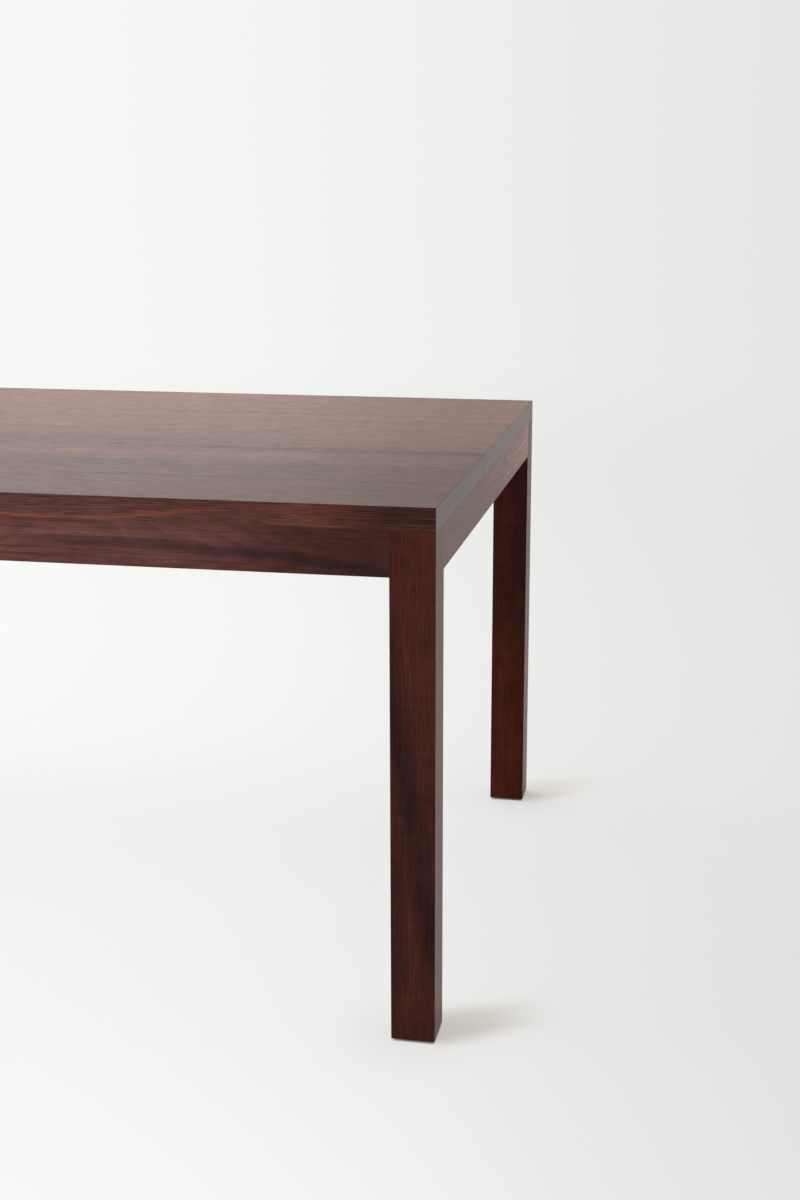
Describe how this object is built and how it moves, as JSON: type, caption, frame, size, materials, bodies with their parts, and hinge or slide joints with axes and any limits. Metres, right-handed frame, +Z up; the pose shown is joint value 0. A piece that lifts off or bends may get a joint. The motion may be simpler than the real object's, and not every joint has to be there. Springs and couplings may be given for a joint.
{
  "type": "parsons dining table",
  "caption": "Solid walnut Parsons dining table: a plank top flush with square legs and aprons, mortised corners, dovetailed bearers, table buttons and screw-adjusted levelling glides.",
  "frame": {"origin": "on the floor, under the middle of the table top", "axes": "+X along the table's length, +Y across it towards the rear, +Z up"},
  "size_m": [2.134, 1.016, 0.762],
  "materials": {
    "top_walnut": "satin oil",
    "apron_walnut": "satin oil",
    "leg_walnut": "satin oil",
    "brace_walnut": "planed, unfinished",
    "button_maple": "planed, unfinished",
    "screw_steel": "zinc plated",
    "insert_brass": "turned",
    "glide_nylon": "moulded"
  },
  "bodies": {
    "table": {"top_board_1": "top_walnut", "top_board_2": "top_walnut", "top_board_3": "top_walnut", "top_board_4": "top_walnut", "top_board_5": "top_walnut", "top_board_6": "top_walnut", "top_board_7": "top_walnut", "front_apron": "apron_walnut", "rear_apron": "apron_walnut", "left_apron": "apron_walnut", "right_apron": "apron_walnut", "front_left_leg": "leg_walnut", "front_left_corner_block": "brace_walnut", "front_right_leg": "leg_walnut", "front_right_corner_block": "brace_walnut", "rear_left_leg": "leg_walnut", "rear_left_corner_block": "brace_walnut", "rear_right_leg": "leg_walnut", "rear_right_corner_block": "brace_walnut", "left_bearer": "brace_walnut", "middle_bearer": "brace_walnut", "right_bearer": "brace_walnut", "front_button_1": "button_maple", "front_button_2": "button_maple", "front_button_3": "button_maple", "front_button_4": "button_maple", "rear_button_1": "button_maple", "rear_button_2": "button_maple", "rear_button_3": "button_maple", "rear_button_4": "button_maple", "left_button_1": "button_maple", "left_button_2": "button_maple", "right_button_1": "button_maple", "right_button_2": "button_maple", "bearer_screws": "screw_steel", "button_screws": "screw_steel", "corner_block_screws": "screw_steel", "front_left_threaded_insert": "insert_brass", "front_right_threaded_insert": "insert_brass", "rear_left_threaded_insert": "insert_brass", "rear_right_threaded_insert": "insert_brass"},
    "front_left_glide": {"front_left_glide": "glide_nylon"},
    "front_left_levelling_screw": {"front_left_levelling_screw": "screw_steel"},
    "front_right_glide": {"front_right_glide": "glide_nylon"},
    "front_right_levelling_screw": {"front_right_levelling_screw": "screw_steel"},
    "rear_left_glide": {"rear_left_glide": "glide_nylon"},
    "rear_left_levelling_screw": {"rear_left_levelling_screw": "screw_steel"},
    "rear_right_glide": {"rear_right_glide": "glide_nylon"},
    "rear_right_levelling_screw": {"rear_right_levelling_screw": "screw_steel"}
  },
  "joints": [
    {"name": "front_left_glide_height", "type": "slide", "parent": "table", "child": "front_left_glide", "axis": [0, 0, -1], "range_m": [0, 0.01]},
    {"name": "front_left_levelling_turn", "type": "hinge", "parent": "front_left_glide", "child": "front_left_levelling_screw", "pos_m": [-1.036, -0.477, 0.02], "axis": [0, 0, -1], "range_deg": [0, 2880]},
    {"name": "front_right_glide_height", "type": "slide", "parent": "table", "child": "front_right_glide", "axis": [0, 0, -1], "range_m": [0, 0.01]},
    {"name": "front_right_levelling_turn", "type": "hinge", "parent": "front_right_glide", "child": "front_right_levelling_screw", "pos_m": [1.036, -0.477, 0.02], "axis": [0, 0, -1], "range_deg": [0, 2880]},
    {"name": "rear_left_glide_height", "type": "slide", "parent": "table", "child": "rear_left_glide", "axis": [0, 0, -1], "range_m": [0, 0.01]},
    {"name": "rear_left_levelling_turn", "type": "hinge", "parent": "rear_left_glide", "child": "rear_left_levelling_screw", "pos_m": [-1.036, 0.477, 0.02], "axis": [0, 0, -1], "range_deg": [0, 2880]},
    {"name": "rear_right_glide_height", "type": "slide", "parent": "table", "child": "rear_right_glide", "axis": [0, 0, -1], "range_m": [0, 0.01]},
    {"name": "rear_right_levelling_turn", "type": "hinge", "parent": "rear_right_glide", "child": "rear_right_levelling_screw", "pos_m": [1.036, 0.477, 0.02], "axis": [0, 0, -1], "range_deg": [0, 2880]}
  ],
  "couplings": [
    {"joint": "front_left_levelling_turn", "follows": "front_left_glide_height", "rad_per_m": 5026.5},
    {"joint": "front_right_levelling_turn", "follows": "front_right_glide_height", "rad_per_m": 5026.5},
    {"joint": "rear_left_levelling_turn", "follows": "rear_left_glide_height", "rad_per_m": 5026.5},
    {"joint": "rear_right_levelling_turn", "follows": "rear_right_glide_height", "rad_per_m": 5026.5}
  ]
}
